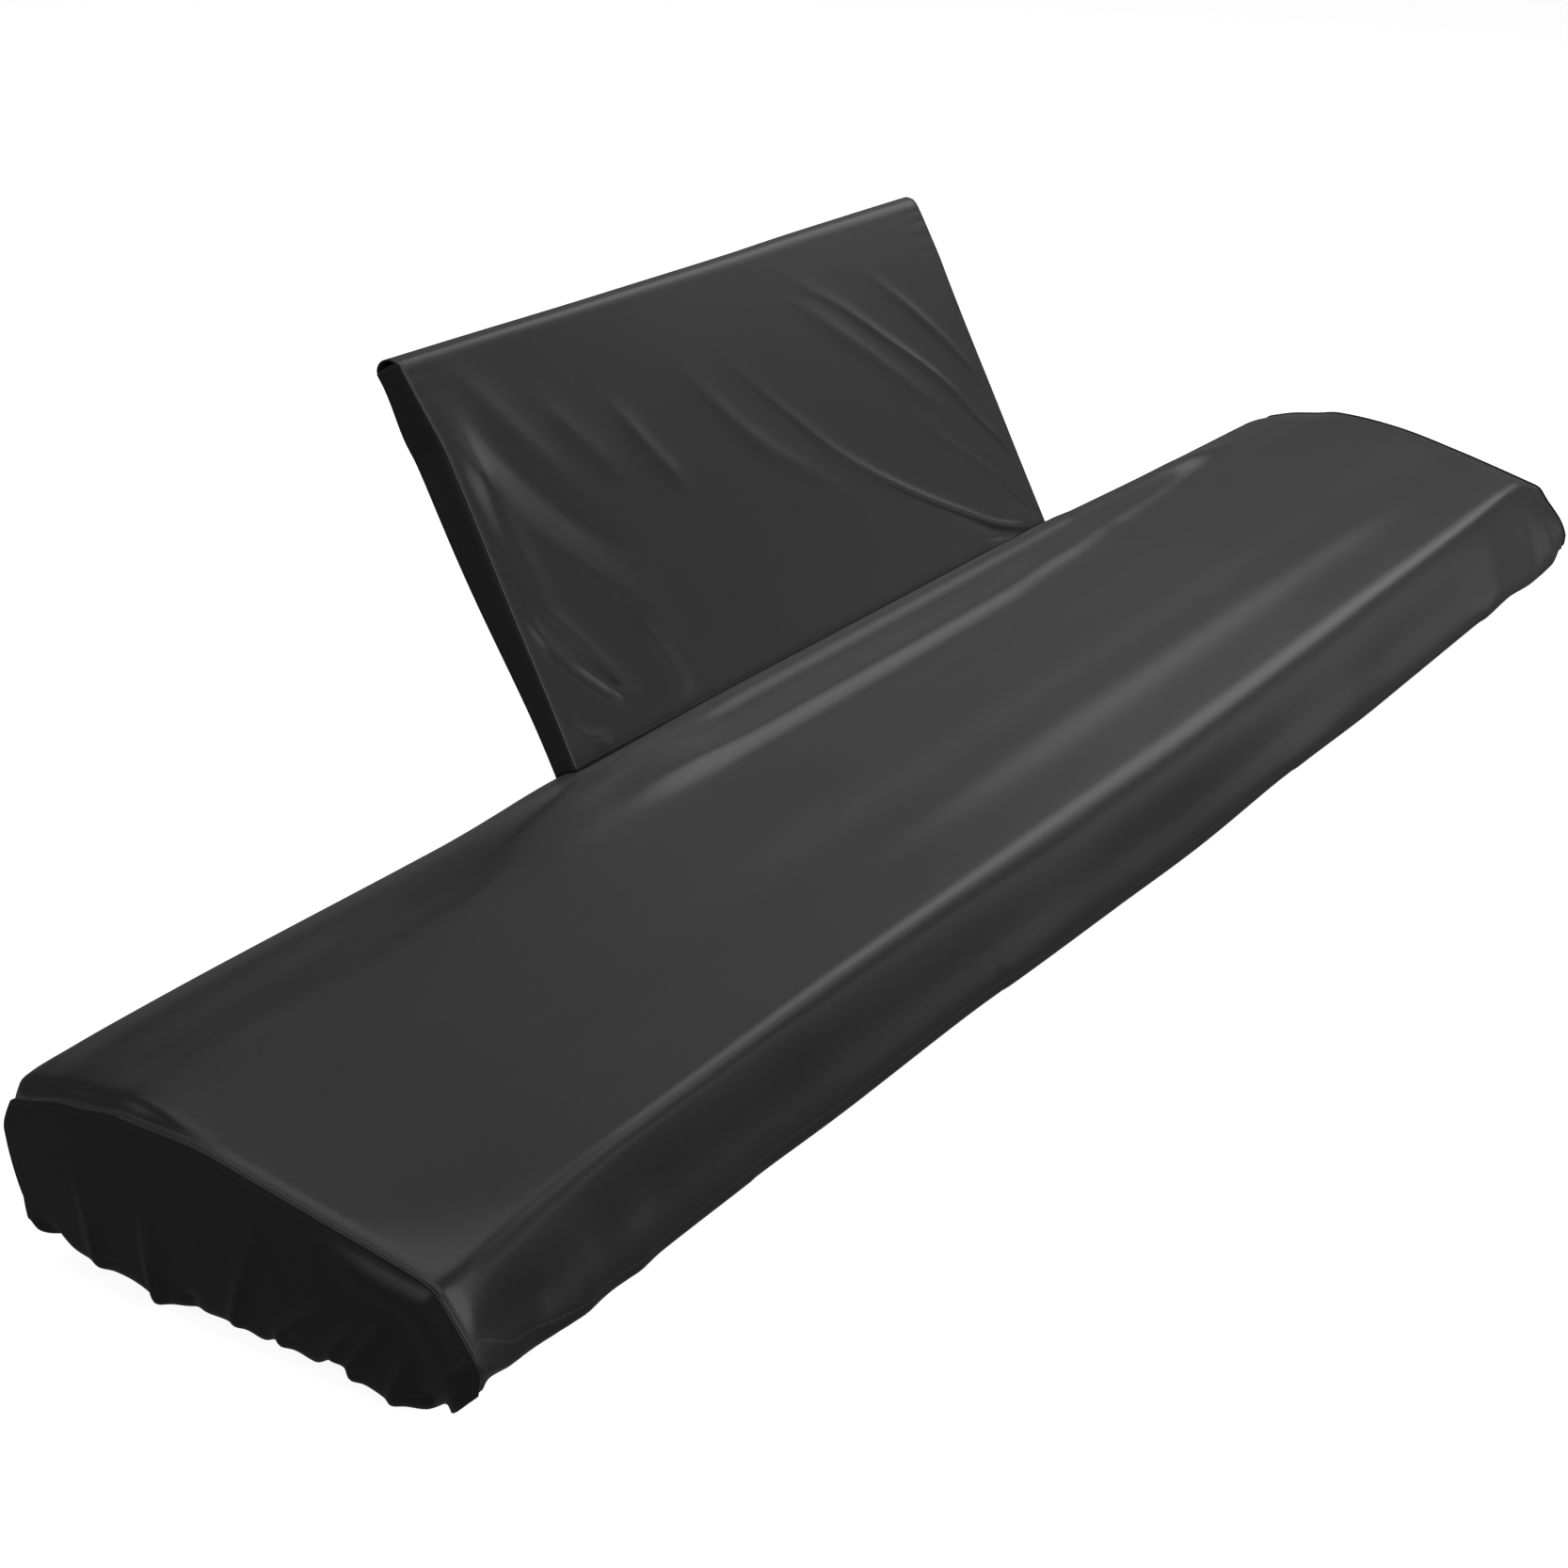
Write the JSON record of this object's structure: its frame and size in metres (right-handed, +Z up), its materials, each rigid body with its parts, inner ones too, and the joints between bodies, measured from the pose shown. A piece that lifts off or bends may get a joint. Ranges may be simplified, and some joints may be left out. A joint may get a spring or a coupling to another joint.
{
  "type": "fitted keyboard piano cover with music stand sleeve",
  "caption": "Fitted stretch cloth cover for a slim keyboard piano, open underneath, with gathered ends and a leaning boxed sleeve over the music stand.",
  "frame": {"origin": "underside of the cloth at the middle of the top, where the keyboard holds the cover up", "axes": "+X along the keyboard towards its treble end, +Y towards its back, where the music stand sleeve leans, +Z up"},
  "size_m": [1.3797, 0.3777, 0.3007],
  "materials": {
    "top_cloth": "black stretch knit with a satin sheen",
    "end_cloth": "black stretch knit with a satin sheen, gathered",
    "sleeve_cloth": "black stretch knit with a satin sheen"
  },
  "bodies": {
    "root": {"main_panel": "top_cloth", "end_panel_left": "end_cloth", "end_panel_right": "end_cloth", "stand_front_panel": "sleeve_cloth", "stand_back_panel": "sleeve_cloth", "stand_gusset_left": "end_cloth", "stand_gusset_right": "end_cloth"}
  },
  "joints": []
}
